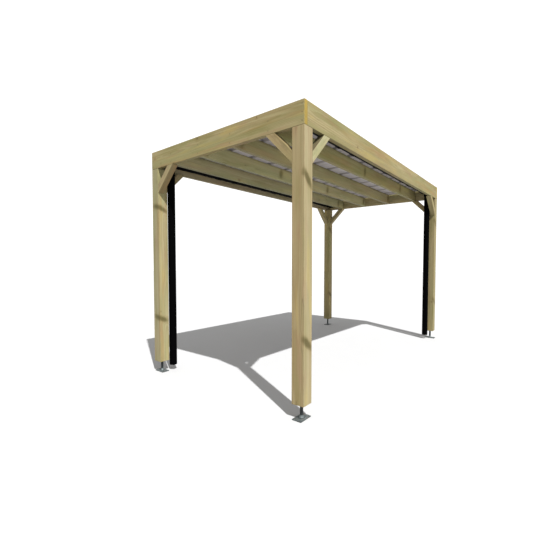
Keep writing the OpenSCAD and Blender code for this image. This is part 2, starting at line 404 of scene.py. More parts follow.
def stem_material():
    m, N = blank("foot_stem_dark")
    tc = N.new("ShaderNodeTexCoord")
    P = tc.outputs["Object"]
    big = N.noise(P, 30.0, 4.0, 0.6)
    fine = N.noise(N.vec("MULTIPLY", P, (1.0, 1.0, 0.2)), 600.0, 3.0, 0.6)
    c = N.mix(big, srgb(40, 43, 44), srgb(62, 66, 67))
    c = N.mix(N.math("MULTIPLY", N.span(fine, 0.5, 0.8), 0.4), c, srgb(88, 92, 92))
    rough = N.math("ADD", 0.40, N.math("MULTIPLY", big, 0.25))
    h = N.math("ADD", N.math("MULTIPLY", big, 0.0006), N.math("MULTIPLY", fine, 0.00015))
    return finish_material(m, N, c, rough, h, metallic=0.7)


def sheet_material():
    m, N = blank("roof_sheet_coated")
    tc = N.new("ShaderNodeTexCoord")
    P = tc.outputs["Object"]
    big = N.noise(N.vec("MULTIPLY", P, (6.0, 1.2, 6.0)), 1.0, 4.0, 0.6)
    run = N.noise(N.vec("MULTIPLY", P, (55.0, 1.4, 55.0)), 1.0, 3.0, 0.6)
    fine = N.noise(P, 700.0, 2.0, 0.5)
    c = N.mix(N.span(big, 0.3, 0.7), srgb(160, 155, 158), srgb(176, 170, 172))
    c = N.mix(N.math("MULTIPLY", N.span(run, 0.52, 0.76), 0.40), c, srgb(130, 124, 124))
    geo = N.new("ShaderNodeNewGeometry")
    nz = N.xyz(geo.outputs["True Normal"])[2]
    top = N.span(nz, 0.2, 0.8)
    # painted shade: the rib walls, the faces that lean along X, are darkened
    nx = N.math("ABSOLUTE", N.xyz(geo.outputs["True Normal"])[0])
    rib_wall_painted_shade = N.math("MULTIPLY", N.span(nx, 0.25, 0.6), 0.42)
    c = N.mix(rib_wall_painted_shade, c, srgb(84, 78, 72))
    # painted highlight: the rib crowns are made lighter and bluer
    crown_painted_highlight = N.span(N.math("SUBTRACT", N.xyz(P)[2], 0.0), CROWN - 0.006, CROWN - 0.001)
    c = N.mix(N.math("MULTIPLY", crown_painted_highlight, 0.5), c, srgb(206, 204, 216))
    dust = N.math("MULTIPLY", top, N.span(N.noise(P, 5.0, 5.0, 0.65), 0.42, 0.70))
    c = N.mix(N.math("MULTIPLY", dust, 0.45), c, srgb(150, 146, 132))
    rough = N.math("ADD", N.math("ADD", 0.34, N.math("MULTIPLY", run, 0.18)), N.math("MULTIPLY", dust, 0.25))
    h = N.math("ADD", N.math("MULTIPLY", big, 0.0018), N.math("MULTIPLY", fine, 0.00003))
    return finish_material(m, N, c, rough, h, metallic=0.12)


def plastic_material(name, axis):
    """axis: the direction that the plastic was drawn out in."""
    m, N = blank("black_plastic_" + name)
    tc = N.new("ShaderNodeTexCoord")
    P = tc.outputs["Object"]
    s = (0.6, 60.0, 60.0) if axis == "X" else (60.0, 60.0, 0.6)
    draw = N.noise(N.vec("MULTIPLY", P, s), 1.0, 3.0, 0.6)
    big = N.noise(P, 7.0, 4.0, 0.6)
    fine = N.noise(P, 900.0, 2.0, 0.5)
    scr = N.noise(N.vec("MULTIPLY", P, (s[0] * 3, s[1] * 6, s[2] * 3)), 1.0, 2.0, 0.5)
    c = N.mix(draw, srgb(2, 2, 2), srgb(4, 4, 5))
    geo = N.new("ShaderNodeNewGeometry")
    up = N.span(N.xyz(geo.outputs["True Normal"])[2], 0.1, 0.9)
    dust = N.math("MULTIPLY", N.span(big, 0.40, 0.75), N.math("MULTIPLY", up, 0.22))
    c = N.mix(dust, c, srgb(86, 82, 74))
    c = N.mix(N.math("MULTIPLY", N.span(scr, 0.66, 0.78), 0.06), c, srgb(24, 24, 25))
    rough = N.math("ADD", N.math("ADD", 0.46, N.math("MULTIPLY", draw, 0.12)), N.math("MULTIPLY", big, 0.14))
    h = N.math("ADD", N.math("MULTIPLY", draw, 0.00012), N.math("MULTIPLY", fine, 0.00002))
    return finish_material(m, N, c, rough, h, Specular_IOR_Level=0.014)


def screw_material(name, a, b, rough0=0.35):
    m, N = blank(name)
    tc = N.new("ShaderNodeTexCoord")
    P = tc.outputs["Object"]
    big = N.noise(P, 130.0, 3.0, 0.6)
    fine = N.noise(P, 1500.0, 2.0, 0.6)
    c = N.mix(big, a, b)
    rough = N.math("ADD", rough0, N.math("MULTIPLY", big, 0.3))
    return finish_material(m, N, c, rough, N.math("MULTIPLY", fine, 0.00004), metallic=0.85)


def rubber_material():
    m, N = blank("washer_rubber")
    tc = N.new("ShaderNodeTexCoord")
    big = N.noise(tc.outputs["Object"], 160.0, 3.0, 0.6)
    return finish_material(m, N, N.mix(big, srgb(30, 30, 31), srgb(48, 47, 46)), N.math("ADD", 0.6, N.math("MULTIPLY", big, 0.2)),
                           N.math("MULTIPLY", big, 0.0001), Specular_IOR_Level=0.3)


# ------------------------------------------------------------------ meshes


def make(name, bm, mats, nodes=(), smooth=True, angle=35):
    me = bpy.data.meshes.new(name)
    bmesh.ops.recalc_face_normals(bm, faces=bm.faces)
    bm.to_mesh(me)
    bm.free()
    for m in mats:
        me.materials.append(m)
    o = bpy.data.objects.new(name, me)
    bpy.context.scene.collection.objects.link(o)
    if smooth:
        for p in me.polygons:
            p.use_smooth = True
        me.set_sharp_from_angle(angle=math.radians(angle))
    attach(o, "root")
    if nodes:
        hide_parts(*nodes)
    return o


def rounded_rect(hv, hw, r, seg=3, parts=4):
    """Points round a rectangle with eased corners, with extra points along its sides."""
    pts = []
    for k, (sv, sw) in enumerate(((1, 1), (-1, 1), (-1, -1), (1, -1))):
        cx, cy = sv * (hv - r), sw * (hw - r)
        for s in range(seg + 1):
            a = math.radians(90 * k + 90 * s / seg)
            pts.append((cx + r * math.cos(a), cy + r * math.sin(a)))
        nsv, nsw = ((-1, 1), (-1, -1), (1, -1), (1, 1))[k]
        a = math.radians(90 * (k + 1))
        p0 = pts[-1]
        p1 = (nsv * (hv - r) + r * math.cos(a), nsw * (hw - r) + r * math.sin(a))
        near = 0.0012 / max(0.004, math.hypot(p1[0] - p0[0], p1[1] - p0[1]))
        for t in [near] + [q / parts for q in range(1, parts)] + [1 - near]:
            pts.append((p0[0] + (p1[0] - p0[0]) * t, p0[1] + (p1[1] - p0[1]) * t))
    return pts


GAP = 0.0006     # the timber stands this far inside its construction size


def board(name, node, axis, seed, pith, ease=0.0022, marks=(), tone=0.0, value=1.0, step=0.07, mute=0.0, tint=(1, 1, 1), faces=(), shade=None, knotty=0.45, stain=(0.62, 0.62, 0.50)):
    """A straight timber that fills its node's box: eased edges and ends, and a planed face that is not quite flat."""
    lo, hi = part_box(node)
    mid = (lo + hi) / 2
    A = {"X": Vector((1, 0, 0)), "Z": Vector((0, 0, 1))}.get(axis, Vector((0, 1, 0)))
    B = {"X": Vector((0, 1, 0)), "Z": Vector((1, 0, 0))}.get(axis, Vector((0, 0, 1)))
    C = A.cross(B)
    d = hi - lo
    hl, hv, hw = [abs(d.dot(q)) / 2 - GAP for q in (A, B, C)]
    rect = rounded_rect(hv, hw, ease)
    stations = [(-hl + ease * (1 - math.cos(t)), ease * (1 - math.sin(t))) for t in (0, math.pi / 6, math.pi / 3, math.pi / 2)]
    n = max(2, int(2 * hl / step))
    stations.append((-hl + ease + 0.0012, 0.0))
    stations += [(-hl + ease + (2 * hl - 2 * ease) * k / n, 0.0) for k in range(1, n)]
    stations.append((hl - ease - 0.0012, 0.0))
    stations += [(-a, b) for a, b in stations[3::-1]]
    stations.sort()
    bm = bmesh.new()
    rings = []
    for su, inset in stations:
        fv, fw = (hv - inset) / hv, (hw - inset) / hw
        ring = []
        for (pv, pw) in rect:
            q = Vector((su * 1.3 + seed * 7.1, pv * 5, pw * 5))
            dent = 0.00055 * (0.5 + 0.5 * noise.noise(q))
            wave = 0.00035 * (0.5 + 0.5 * noise.noise(Vector((su * 14.0, pv * 30 + seed, pw * 30))))
            k = dent + wave
            pv2 = pv * fv - math.copysign(min(k, abs(pv)), pv)
            pw2 = pw * fw - math.copysign(min(k, abs(pw)), pw)
            ring.append(bm.verts.new(mid + A * su + B * pv2 + C * pw2))
        rings.append(ring)
    m = len(rect)
    for a, b in zip(rings, rings[1:]):
        for k in range(m):
            bm.faces.new((a[k], a[(k + 1) % m], b[(k + 1) % m], b[k]))
    bm.faces.new(rings[0][::-1])
    bm.faces.new(rings[-1])
    mat = timber_material(name, mid, A, B, (hl, hv, hw), pith, seed, marks, tone, value, mute, tint, faces, shade, knotty, stain)
    return make("timber_" + name, bm, [mat], (node,))


def knee(node, seed, tone=0.0, value=1.0, tint=(1, 1, 1), faces=()):
    """A mitred brace between a post and a rail: 45 degree ends, eased edges, flat faces."""
    lo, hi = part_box(node)
    mid = (lo + hi) / 2
    end = "knee_end" in node
    out = Vector((0, math.copysign(1, mid.y), 0)) if end else Vector((math.copysign(1, mid.x), 0, 0))
    thick = Vector((1, 0, 0)) if end else Vector((0, 1, 0))
    corner = Vector((mid.x, mid.y, hi.z))
    axis = 1 if end else 0
    corner[axis] = hi[axis] if out[axis] > 0 else lo[axis]
    leg = hi.z - lo.z
    inner = leg - 0.070 * math.sqrt(2)
    g = GAP
    # (distance in from the post, distance down from the rail)
    outline = [(g, leg - 2.4 * g), (g, inner + 1.4 * g), (inner + 1.4 * g, g), (leg - 2.4 * g, g)]
    ht = (hi[1 - axis] - lo[1 - axis]) / 2 - g
    bm = bmesh.new()
    a = [bm.verts.new(corner - out * u - Vector((0, 0, d)) - thick * ht) for u, d in outline]
    b = [bm.verts.new(corner - out * u - Vector((0, 0, d)) + thick * ht) for u, d in outline]
    bm.faces.new(a)
    bm.faces.new(b[::-1])
    for k in range(4):
        j = (k + 1) % 4
        bm.faces.new((a[j], a[k], b[k], b[j]))
    bmesh.ops.recalc_face_normals(bm, faces=bm.faces)
    bmesh.ops.bevel(bm, geom=list(bm.edges), offset=0.0018, segments=3, profile=0.5, affect="EDGES", clamp_overlap=True)
    along = (-out + Vector((0, 0, 1))).normalized()
    mat = timber_material(node, mid, along, thick, (0.20, 0.035, 0.035), (0, 0.03, -0.05), seed, (), tone, value, 0.0, tint, faces)
    o = make("timber_" + node, bm, [mat], (node,))
    for p in o.data.polygons:
        p.use_smooth = p.area < 0.0008
    return o


def weld_row(bm, points, size=0.0026, seed=1):
    """A weld bead: a row of small overlapping lumps."""
    rnd = random.Random(seed)
    for p in points:
        s = size * rnd.uniform(0.85, 1.15)
        made = bmesh.ops.create_icosphere(bm, subdivisions=1, radius=s)
        for v in made["verts"]:
            v.co += Vector(p) + Vector((rnd.uniform(-1, 1), rnd.uniform(-1, 1), 0)) * 0.0003


def lathe(bm, centre, profile, seg=64):
    """Turns a closed (radius, height) profile round a vertical line."""
    rings = []
    for k in range(seg):
        a = 2 * math.pi * k / seg
        rings.append([bm.verts.new(Vector(centre) + Vector((r * math.cos(a), r * math.sin(a), z))) for r, z in profile])
    n = len(profile)
    for k in range(seg):
        a, b = rings[k], rings[(k + 1) % seg]
        for i in range(n):
            bm.faces.new((a[i], b[i], b[(i + 1) % n], a[(i + 1) % n]))


# the posts: one spike knot high and one low on each, as on boards cut from one length
def post_marks(both):
    if both:
        return ((0.668, -0.02, -0.03, 0.030, 0.090, 0.095, (27, 8)), (-0.607, -0.02, -0.03, 0.031, 0.088, 0.092, (24, 10)))
    return ((0.706, -0.010, -0.060, 0.031, 0.094, 0.032, (50, 0)), (-0.603, -0.012, -0.060, 0.032, 0.088, 0.032, (43, 0)))


# painted light: the right faces of the two front posts are made lighter and bluer, and their front faces get a slight
# tint
board("post_front_right", "post_front_right", "Z", 1.3, (0, 0.085, 0.02), marks=post_marks(False), tone=0.30, knotty=0.0, stain=(0.44, 0.45, 0.32),
      faces=(((0, -1, 0), (1.13, 1.19, 1.27)), ((-1, 0, 0), (1.04, 1.03, 1.00))))
board("post_front_left", "post_front_left", "Z", 5.9, (0, 0.03, 0.09), marks=post_marks(True), tone=0.05, stain=(0.50, 0.51, 0.38),
      faces=(((0, -1, 0), (1.13, 1.18, 1.24)), ((-1, 0, 0), (0.99, 1.04, 1.14))))
board("post_back_right", "post_back_right", "Z", 8.4, (0, -0.07, 0.05), marks=post_marks(False), tone=0.10)
board("post_back_left", "post_back_left", "Z", 12.7, (0, 0.02, -0.03), marks=post_marks(False), tone=0.15, tint=(1.06, 1.06, 0.98))

# painted shade: undersides made darker
UNDER = ((0, 0, -1), (0.72, 0.70, 0.64))
board("rail_front", "rail_front", "Y", 21.1, (0, 0.02, -0.14), tone=0.0, faces=(UNDER,), tint=(0.98, 0.96, 0.90))
board("rail_back", "rail_back", "Y", 27.6, (0, -0.03, 0.12), tone=0.05)
board("rail_right", "rail_right", "X", 33.2, (0, 0.13, 0.03), tone=0.05, faces=(UNDER,), tint=(0.95, 0.95, 0.90))
# painted shade on the left rail's underside; its inner face is painted a little bluer
board("rail_left", "rail_left", "X", 38.9, (0, -0.12, -0.02), tone=0.05, faces=(((0, 0, -1), (0.86, 0.85, 0.90)), ((0, -1, 0), (1.02, 1.00, 1.12))), tint=(0.88, 0.90, 0.92))


def joist_marks(xs, rz=0.062):
    return tuple((x, -0.0225, 0.006 if k % 2 else -0.006, 0.036, 0.024, rz, (0, 12)) for k, x in enumerate(xs))


# painted shade: a darker band at the top of each joist face, under the sheet
JOIST_TOP_PAINTED_SHADE = (0.046, 0.070, (0.74, 0.74, 0.80))
# painted shade: joist undersides made darker
JOIST_UNDERSIDE_PAINTED_SHADE = ((0, 0, -1), (0.56, 0.58, 0.60))
board("joist_right_outer", "joist_right_outer", "X", 44.5, (0, 0.10, -0.02), marks=joist_marks((-0.117, 1.19)), tone=0.10, mute=0.05, shade=JOIST_TOP_PAINTED_SHADE, faces=(JOIST_UNDERSIDE_PAINTED_SHADE,),
      tint=(1.32, 1.41, 1.16))
board("joist_right_inner", "joist_right_inner", "X", 49.3, (0, -0.09, 0.03), marks=joist_marks((-1.86, 1.90)), tone=0.15, mute=0.1, shade=JOIST_TOP_PAINTED_SHADE, faces=(JOIST_UNDERSIDE_PAINTED_SHADE,),
      tint=(1.18, 1.22, 1.08))
board("joist_left_inner", "joist_left_inner", "X", 55.8, (0, 0.08, -0.05), marks=joist_marks((-1.90, -0.66, 0.54, 1.88)), tone=0.25, mute=0.1, shade=JOIST_TOP_PAINTED_SHADE, faces=(JOIST_UNDERSIDE_PAINTED_SHADE,),
      tint=(1.36, 1.50, 1.36))
board("joist_left_outer", "joist_left_outer", "X", 60.2, (0, -0.11, -0.02), marks=joist_marks((1.75,)), tone=0.10, mute=0.1, shade=JOIST_TOP_PAINTED_SHADE, faces=(JOIST_UNDERSIDE_PAINTED_SHADE,),
      tint=(1.14, 1.20, 1.14))

# painted shade: the upper inner face of the front right side brace is made much darker, and the down-facing slope of
# the front left end brace darker; that end brace's front face is painted a little lighter and greener
D = math.sqrt(0.5)
for k, (end, side) in enumerate((("front", "right"), ("front", "left"), ("back", "right"), ("back", "left"))):
    knee(f"knee_end_{end}_{side}", 70.3 + 3.7 * k, tone=0.30, faces=(((0, -D, -D), (0.80, 0.76, 0.74)), ((-1, 0, 0), (1.05, 1.12, 1.10))) if k == 1 else (), tint=(1.0, 0.96, 0.88) if k == 0 else (1, 1, 1))
    knee(f"knee_side_{end}_{side}", 90.1 + 4.3 * k, tone=0.10, tint=(1.30, 1.46, 1.66) if k == 0 else (1, 1, 1),
         faces=(((-D, 0, D), (0.34, 0.31, 0.27)),) if k == 0 else ())

# ------------------------------------------------------------------ screws in the timber

SCREW = screw_material("screw_steel", srgb(116, 108, 84), srgb(142, 132, 104), 0.60)
RECESS = screw_material("screw_recess", srgb(48, 45, 38), srgb(70, 66, 56), 0.65)


def screws(name, places, radius=0.0048):
    """Countersunk heads with a star recess, all in one joined mesh. places: (point on the face, outward normal)."""
    bm = bmesh.new()
    deep = []
    for j, (p, n) in enumerate(places):
        p, n = Vector(p), Vector(n).normalized()
        q = n.to_track_quat("Z", "Y").to_matrix().to_4x4()
        spin = Matrix.Rotation(j * 0.9, 4, "Z")
        M = Matrix.Translation(p) @ q @ spin

        def ring(r, z, k=24):
            return [bm.verts.new(M @ Vector((r * math.cos(2 * math.pi * i / k), r * math.sin(2 * math.pi * i / k), z))) for i in range(k)]

        def star(r0, r1, z):
            out = []
            for i in range(24):
                a = 2 * math.pi * i / 24
                r = r0 + (r1 - r0) * (0.5 + 0.5 * math.cos(6 * a))
                out.append(bm.verts.new(M @ Vector((r * math.cos(a), r * math.sin(a), z))))
            return out
        rings = [ring(radius, -0.0035), ring(radius, 0.0000), ring(radius * 0.94, 0.00030), ring(radius * 0.72, 0.00042),
                 star(radius * 0.34, radius * 0.52, 0.00040), star(radius * 0.30, radius * 0.47, -0.0022)]
        for a, b in zip(rings, rings[1:]):
            for i in range(24):
                bm.faces.new((a[i], a[(i + 1) % 24], b[(i + 1) % 24], b[i]))
        deep.append(bm.faces.new(rings[-1]))
    bm.faces.index_update()
    idx = [f.index for f in deep]
    o = make(name, bm, [SCREW, RECESS], angle=40)
    for i in idx:
        o.data.polygons[i].material_index = 1
    return o


places = []
for sx, rail in ((-1, "rail_front"), (1, "rail_back")):
    lo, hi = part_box(rail)
    x = (lo.x + GAP) if sx < 0 else (hi.x - GAP)
    for sy in (-1, 1):
        y = sy * (hi.y - 0.0225)
        for z in (0.032, 0.0975, 0.163):
            places.append(((x, y, lo.z + z), (sx, 0, 0)))
    for node in ("joist_right_outer", "joist_right_inner", "joist_left_inner", "joist_left_outer"):
        jl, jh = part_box(node)
        y = (jl.y + jh.y) / 2
        for z in (0.030, 0.112):
            places.append(((x, y, jl.z + z), (sx, 0, 0)))
screws("screws_rails", [((Vector(p) + Vector(n) * 0.0), n) for p, n in places])

places = []
for sx in (-1, 1):
    for sy in (-1, 1):
        # along the end: on the sloping lower edge of the brace, one screw near each end
        for kind in ("end", "side"):
            node = "knee_%s_%s_%s" % (kind, "front" if sx < 0 else "back", "right" if sy < 0 else "left")
            lo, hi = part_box(node)
            for t in (0.16, 0.84):
                if kind == "end":
                    post_y = lo.y if sy < 0 else hi.y
                    y = post_y - sy * (hi.y - lo.y) * t
                    z = lo.z + (hi.z - lo.z) * t
                    places.append((((lo.x + hi.x) / 2, y, z), (0, -sy, -1)))
                else:
                    post_x = lo.x if sx < 0 else hi.x
                    x = post_x - sx * (hi.x - lo.x) * t
                    z = lo.z + (hi.z - lo.z) * t
                    places.append(((x, (lo.y + hi.y) / 2, z), (-sx, 0, -1)))
screws("screws_braces", places, 0.0044)

# ------------------------------------------------------------------ roof sheet

lo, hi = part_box("roof_sheet")
CROWN = hi.z
SHEET = sheet_material()
PITCH, FIRST, RIB_H = 0.333, lo.x + 0.040, 0.030
T = 0.0008
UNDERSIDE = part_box("joist_right_outer")[1].z      # the sheet lies on the joists

RIBS = [FIRST + PITCH * k for k in range(12)]


def pan(x0, x1, z):
    """The flat between two ribs, with two low stiffening swages."""
    out = []
    if x1 - x0 > 0.15:
        for f in (1 / 3, 2 / 3):
            c = x0 + (x1 - x0) * f
            out += [(c - 0.010, z), (c - 0.006, z + 0.0018), (c + 0.006, z + 0.0018), (c + 0.010, z)]
    return out


def rib(x, z, grow=0.0):
    b, t, h = 0.0375 + grow, 0.015 + grow, RIB_H
    e = 0.0028
    sx, sz = (b - t), h
    L = math.hypot(sx, sz)
    ux, uz = sx / L * e, sz / L * e
    return [(x - b - e, z), (x - b + ux, z + uz), (x - t - ux, z + h - uz), (x - t + e, z + h),
            (x + t - e, z + h), (x + t + ux, z + h - uz), (x + b - ux, z + uz), (x + b + e, z)]


bm = bmesh.new()
sheets = [(0, 3), (3, 6), (6, 9), (9, 11)]
for s, (a, b) in enumerate(sheets):
    line = []
    z0 = 0.0
    x_start = lo.x if s == 0 else RIBS[a] - 0.052
    line.append((x_start, z0))
    for k in range(a, b + 1):
        last = k == b and s < len(sheets) - 1
        z = z0 + (0.0011 if last else 0.0)
        if k > a:
            line += pan(RIBS[k - 1] + 0.045, RIBS[k] - 0.045, z0)
        line += rib(RIBS[k], z, 0.0006 if last else 0.0)
    if s == len(sheets) - 1:
        line.append((hi.x, z0))
    else:
        line.append((RIBS[b] + 0.050, z0 + 0.0011))
    over = [(x, z + T) for x, z in line]
    loop = line + over[::-1]
    ys = [lo.y + 0.0006 + (hi.y - lo.y - 0.0012) * k / 24 for k in range(25)]
    rings = []
    for y in ys:
        rings.append([bm.verts.new((x, y, UNDERSIDE + z * 0.998 + 0.0003 * noise.noise(Vector((x * 2.0, y * 2.5, s))) + 0.0003)) for x, z in loop])
    n = len(loop)
    for p, q in zip(rings, rings[1:]):
        for i in range(n):
            bm.faces.new((p[i], p[(i + 1) % n], q[(i + 1) % n], q[i]))
    m = len(line)
    for ring_, flip in ((rings[0], False), (rings[-1], True)):
        for i in range(m - 1):
            f = (ring_[i], ring_[i + 1], ring_[n - 2 - i], ring_[n - 1 - i])
            bm.faces.new(f[::-1] if flip else f)
make("roof_sheets", bm, [SHEET], ("roof_sheet",), angle=18)

# fixings of the sheet: hexagon heads on rubber washers, in the pans beside each rib, over each joist
bm = bmesh.new()
rub = []
for node in ("joist_right_outer", "joist_right_inner", "joist_left_inner", "joist_left_outer"):
    jl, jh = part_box(node)
    y = (jl.y + jh.y) / 2
    for k, x in enumerate(RIBS):
        for dx in (-0.062, 0.062):
            if not lo.x + 0.02 < x + dx < hi.x - 0.02:
                continue
            c = Vector((x + dx, y, UNDERSIDE + T + 0.0004))
            rnd = random.Random(int(k * 97 + y * 1000 + dx * 1e4))

            def disc(r, z0, z1, seg, turn=0.0, bevel=0.0):
                prof = [(r, z0), (r, z1 - bevel), (r - bevel, z1)] if bevel else [(r, z0), (r, z1)]
                rs = []
                for (rr, zz) in prof:
                    rs.append([bm.verts.new(c + Vector((rr * math.cos(turn + 2 * math.pi * i / seg), rr * math.sin(turn + 2 * math.pi * i / seg), zz))) for i in range(seg)])
                fs = []
                for p, q in zip(rs, rs[1:]):
                    for i in range(seg):
                        fs.append(bm.faces.new((p[i], p[(i + 1) % seg], q[(i + 1) % seg], q[i])))
                fs.append(bm.faces.new(rs[-1]))
                fs.append(bm.faces.new(rs[0][::-1]))
                return fs
            rub += disc(0.0080, 0.0, 0.0018, 16, 0, 0.0006)
            disc(0.0075, 0.0018, 0.0028, 16, 0, 0.0004)
            disc(0.0046, 0.0028, 0.0078, 6, rnd.uniform(0, 1), 0.0007)
bm.faces.index_update()
idx = [f.index for f in rub]
o = make("roof_screws", bm, [screw_material("roof_screw_steel", srgb(150, 150, 156), srgb(190, 190, 196)), rubber_material()], angle=30)
for i in idx:
    o.data.polygons[i].material_index = 1

# ------------------------------------------------------------------ gutters and downpipes

PLASTIC_X = plastic_material("gutter", "X")
PLASTIC_Z = plastic_material("pipe", "Z")
for side, s in (("right", -1), ("left", 1)):
    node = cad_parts["gutter_" + side]
    node.data.materials.clear()
    node.data.materials.append(PLASTIC_X)
    gl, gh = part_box("gutter_" + side)
    R = 0.0625
    cy, cz = (gl.y + gh.y) / 2, gh.z
    # rolled rims along both edges, and a lip round each stop end
    bm = bmesh.new()

    def tube(x0, x1, y, z, r, seg=12):
        rs = []
        for x in (x0, x0 + 0.0012, x1 - 0.0012, x1):
            rr = r if x0 < x < x1 else r * 0.6
            rs.append([bm.verts.new((x, y + rr * math.cos(2 * math.pi * i / seg), z + rr * math.sin(2 * math.pi * i / seg))) for i in range(seg)])
        for p, q in zip(rs, rs[1:]):
            for i in range(seg):
                bm.faces.new((p[i], p[(i + 1) % seg], q[(i + 1) % seg], q[i]))
        bm.faces.new(rs[0][::-1])
        bm.faces.new(rs[-1])
    for e in (-1, 1):
        tube(gl.x + 0.001, gh.x - 0.001, cy + e * (R - 0.0030), cz + 0.0006, 0.0030)

    def strap(x0, x1, r0, r1, a0=180, a1=360, seg=36):
        """Part of a ring round the trough, from x0 to x1."""
        rs = []
        for k in range(seg + 1):
            a = math.radians(a0 + (a1 - a0) * k / seg)
            rs.append([bm.verts.new((x, cy + r * math.cos(a), cz + r * math.sin(a))) for x, r in
                       ((x0, r0), (x0, r1 - 0.0006), (x0 + 0.0006, r1), (x1 - 0.0006, r1), (x1, r1 - 0.0006), (x1, r0))])
        for p, q in zip(rs, rs[1:]):
            for i in range(6):
                bm.faces.new((p[i], p[(i + 1) % 6], q[(i + 1) % 6], q[i]))
        bm.faces.new(rs[0][::-1])
        bm.faces.new(rs[-1])
    for x0, x1 in ((gl.x, gl.x + 0.018), (gh.x - 0.018, gh.x)):
        strap(x0, x1, R - 0.0008, R + 0.0018)
    make("gutter_rims_" + side, bm, [PLASTIC_X], angle=50)

    # brackets and unions, from the node's own solids
    cl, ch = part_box("gutter_clips_" + side)
    xs = sorted({round(v.co.x, 4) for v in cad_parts["gutter_clips_" + side].data.vertices})
    mids, run = [], [xs[0]]
    for x in xs[1:]:
        if x - run[0] > 0.07:
            mids.append((run[0] + run[-1]) / 2)
            run = [x]
        else:
            run.append(x)
    mids.append((run[0] + run[-1]) / 2)
    bm = bmesh.new()
    for x in mids:
        strap(x - 0.030, x + 0.030, R + 0.0002, R + 0.0026)
        strap(x - 0.030, x - 0.022, R + 0.0002, R + 0.0040)
        strap(x + 0.022, x + 0.030, R + 0.0002, R + 0.0040)
        strap(x - 0.004, x + 0.004, R + 0.0002, R + 0.0036)
        for e in (-1, 1):
            # a hook over each rim
            strap_y = cy + e * (R - 0.001)
            h = bmesh.ops.create_cube(bm, size=1.0)
            for v in h["verts"]:
                v.co = Vector((x, strap_y, cz + 0.0052)) + Vector((v.co.x * 0.056, v.co.y * 0.0078, v.co.z * 0.0024))
        # the pad against the rail
        y_rail = cy + s * 0.0700
        y_in = cy + s * (R + 0.0004)
        pts = [(-0.029, -0.032), (0.029, -0.032), (0.029, 0.004), (0.024, 0.009), (-0.024, 0.009), (-0.029, 0.004)]
        a = [bm.verts.new((x + px, y_in, cz + pz)) for px, pz in pts]
        b = [bm.verts.new((x + px, y_rail - s * 0.0003, cz + pz)) for px, pz in pts]
        bm.faces.new(a)
        bm.faces.new(b[::-1])
        for i in range(6):
            j = (i + 1) % 6
            bm.faces.new((a[j], a[i], b[i], b[j]))
    make("gutter_brackets_" + side, bm, [PLASTIC_X], ("gutter_clips_" + side,), angle=40)

    # the downpipe: an extruded tube with eased ends
    pl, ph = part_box("downpipe_" + side)
    c = Vector(((pl.x + ph.x) / 2, (pl.y + ph.y) / 2, 0))
    r = (ph.x - pl.x) / 2
    t = 0.0022
    prof = []
    for k in range(5):
        a = math.pi * k / 4
        prof.append((r - t / 2 + t / 2 * math.cos(a), pl.z + t / 2 - t / 2 * math.sin(a)))
    zs = [pl.z + 0.05 + (ph.z - pl.z - 0.06) * k / 12 for k in range(13)]
    inner = [(r - t, z) for z in zs] + [(r - t, ph.z)]
    outer = [(r, z) for z in zs] + [(r, ph.z)]
    bm = bmesh.new()
    lathe(bm, c, prof + inner + outer[::-1], 72)
    make("pipe_" + side, bm, [PLASTIC_Z], ("downpipe_" + side,), angle=40)
    # outlet ring, where the pipe enters the gutter's outlet
    bm = bmesh.new()
    zc = gl.z
    ring = [(r + 0.0006, zc), (r + 0.0006, zc + 0.016), (r + 0.0046, zc + 0.016), (r + 0.0052, zc + 0.014), (r + 0.0052, zc + 0.002), (r + 0.0044, zc)]
    lathe(bm, c, [(a, b) for a, b in ring], 64)
    make("outlet_ring_" + side, bm, [PLASTIC_Z], angle=40)

# ------------------------------------------------------------------ feet

GALV = foot_material()
STEM = stem_material()


